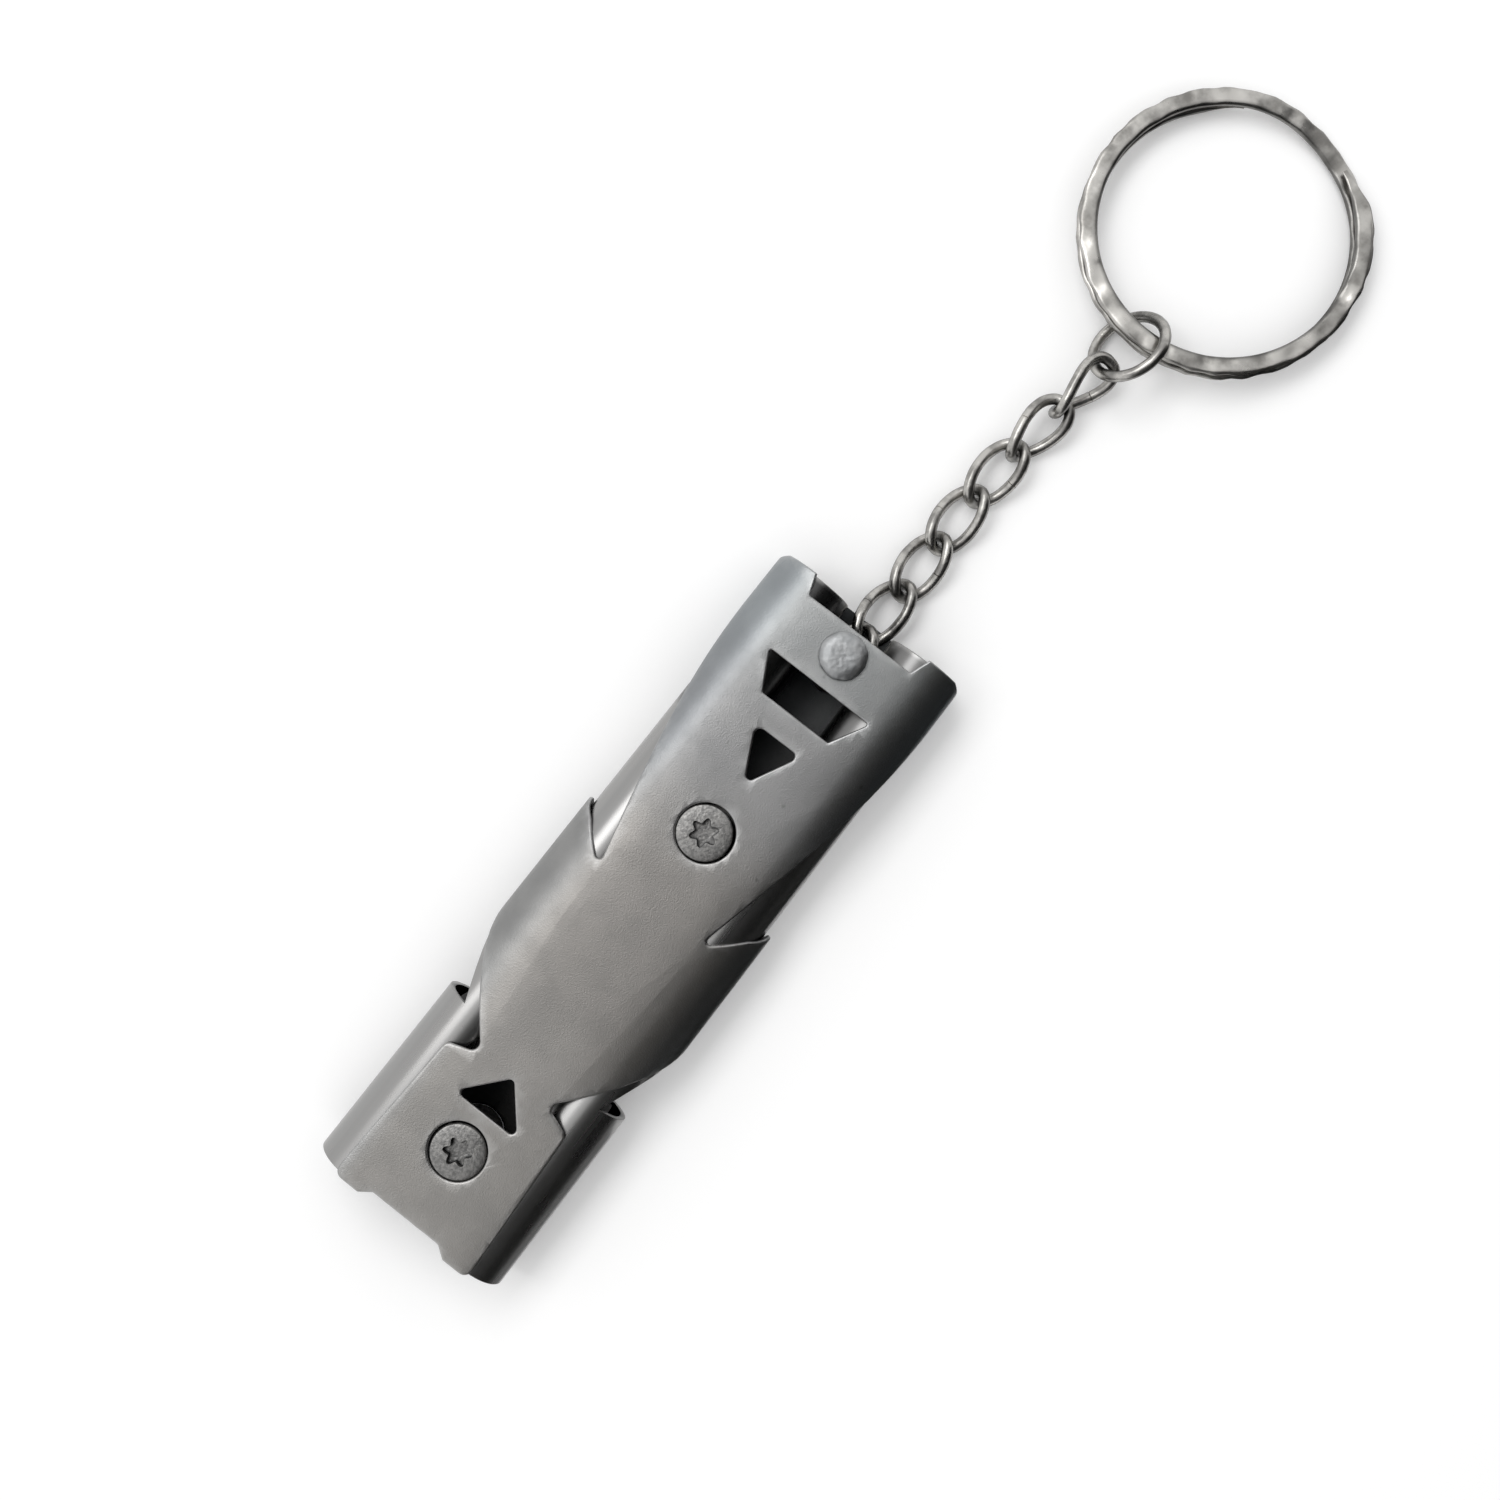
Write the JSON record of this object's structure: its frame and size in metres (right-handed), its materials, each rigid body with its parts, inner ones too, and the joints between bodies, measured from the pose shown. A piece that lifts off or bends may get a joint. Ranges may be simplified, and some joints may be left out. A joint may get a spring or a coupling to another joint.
{
  "type": "pocket whistle",
  "caption": "Flat twin-tube steel pocket whistle with a folded sheet jacket, on a short twisted-link chain with a hammered split key ring.",
  "frame": {"origin": "outer face of the flat back plate, in the middle of the middle sleeve, 30 mm from the mouth end", "axes": "+Y from the mouth end towards the chain, +Z out of the front plate, +X to the right seen from the front"},
  "size_m": [0.0263, 0.1235, 0.009],
  "materials": {
    "shell": "bead-blasted satin stainless steel",
    "left_pipe": "bright drawn stainless tube",
    "left_fipple_plug": "turned steel, unpolished",
    "left_end_stopper": "turned steel, unpolished",
    "right_pipe": "bright drawn stainless tube",
    "right_fipple_plug": "turned steel, unpolished",
    "right_end_stopper": "turned steel, unpolished",
    "upper_front_screw": "satin stainless steel",
    "upper_back_screw": "satin stainless steel",
    "upper_spacer": "turned steel, unpolished",
    "lower_front_screw": "satin stainless steel",
    "lower_back_screw": "satin stainless steel",
    "lower_spacer": "turned steel, unpolished",
    "rivet": "satin stainless steel",
    "chain_link_1": "bright nickel plate on steel wire",
    "chain_link_2": "bright nickel plate on steel wire",
    "chain_link_3": "bright nickel plate on steel wire",
    "chain_link_4": "bright nickel plate on steel wire",
    "chain_link_5": "bright nickel plate on steel wire",
    "chain_link_6": "bright nickel plate on steel wire",
    "chain_link_7": "bright nickel plate on steel wire",
    "jump_ring": "bright nickel plate on steel wire",
    "split_ring": "bright nickel plate on steel wire"
  },
  "bodies": {
    "whistle": {"shell": "shell", "left_pipe": "left_pipe", "left_fipple_plug": "left_fipple_plug", "left_end_stopper": "left_end_stopper", "right_pipe": "right_pipe", "right_fipple_plug": "right_fipple_plug", "right_end_stopper": "right_end_stopper", "upper_front_screw": "upper_front_screw", "upper_back_screw": "upper_back_screw", "upper_spacer": "upper_spacer", "lower_front_screw": "lower_front_screw", "lower_back_screw": "lower_back_screw", "lower_spacer": "lower_spacer", "rivet": "rivet"},
    "chain_link_1": {"chain_link_1": "chain_link_1"},
    "chain_link_2": {"chain_link_2": "chain_link_2"},
    "chain_link_3": {"chain_link_3": "chain_link_3"},
    "chain_link_4": {"chain_link_4": "chain_link_4"},
    "chain_link_5": {"chain_link_5": "chain_link_5"},
    "chain_link_6": {"chain_link_6": "chain_link_6"},
    "chain_link_7": {"chain_link_7": "chain_link_7"},
    "jump_ring": {"jump_ring": "jump_ring"},
    "split_ring": {"split_ring": "split_ring"}
  },
  "joints": [
    {"name": "rivet_swing", "type": "hinge", "parent": "whistle", "child": "chain_link_1", "pos_m": [0, 0.0308, 0.002], "axis": [0, 0, 1], "range_deg": [-7, 7]},
    {"name": "link_2_tilt", "type": "hinge", "parent": "chain_link_1", "child": "chain_link_2", "pos_m": [0.00022, 0.03444, 0.00194], "axis": [0.7063, -0.0358, 0.707], "range_deg": [-20, 15]},
    {"name": "link_3_tilt", "type": "hinge", "parent": "chain_link_2", "child": "chain_link_3", "pos_m": [0.00042, 0.03845, 0.00141], "axis": [0.7072, 0.004, -0.707], "range_deg": [-30, 30]},
    {"name": "link_4_tilt", "type": "hinge", "parent": "chain_link_3", "child": "chain_link_4", "pos_m": [0.00029, 0.04485, 0.00131], "axis": [0.7067, 0.0256, 0.707], "range_deg": [-30, 30]},
    {"name": "link_5_tilt", "type": "hinge", "parent": "chain_link_4", "child": "chain_link_5", "pos_m": [0.00028, 0.04889, 0.00136], "axis": [0.6038, 0.0048, -0.7971], "range_deg": [-30, 30]},
    {"name": "link_6_tilt", "type": "hinge", "parent": "chain_link_5", "child": "chain_link_6", "pos_m": [0.00075, 0.05526, 0.00176], "axis": [0.7938, -0.0953, 0.6007], "range_deg": [-30, 30]},
    {"name": "link_7_tilt", "type": "hinge", "parent": "chain_link_6", "child": "chain_link_7", "pos_m": [0.00138, 0.05924, 0.00205], "axis": [-0.2408, 0.1204, -0.9631], "range_deg": [-25, 25]},
    {"name": "jump_ring_fold", "type": "hinge", "parent": "chain_link_7", "child": "jump_ring", "pos_m": [0.00234, 0.06436, 0.00246], "axis": [0.7219, -0.1836, 0.6672], "range_deg": [-60, 60]},
    {"name": "split_ring_turn", "type": "hinge", "parent": "jump_ring", "child": "split_ring", "pos_m": [0.00342, 0.08065, 0.00184], "axis": [0.0024, 0.0679, 0.9977], "continuous": true}
  ]
}
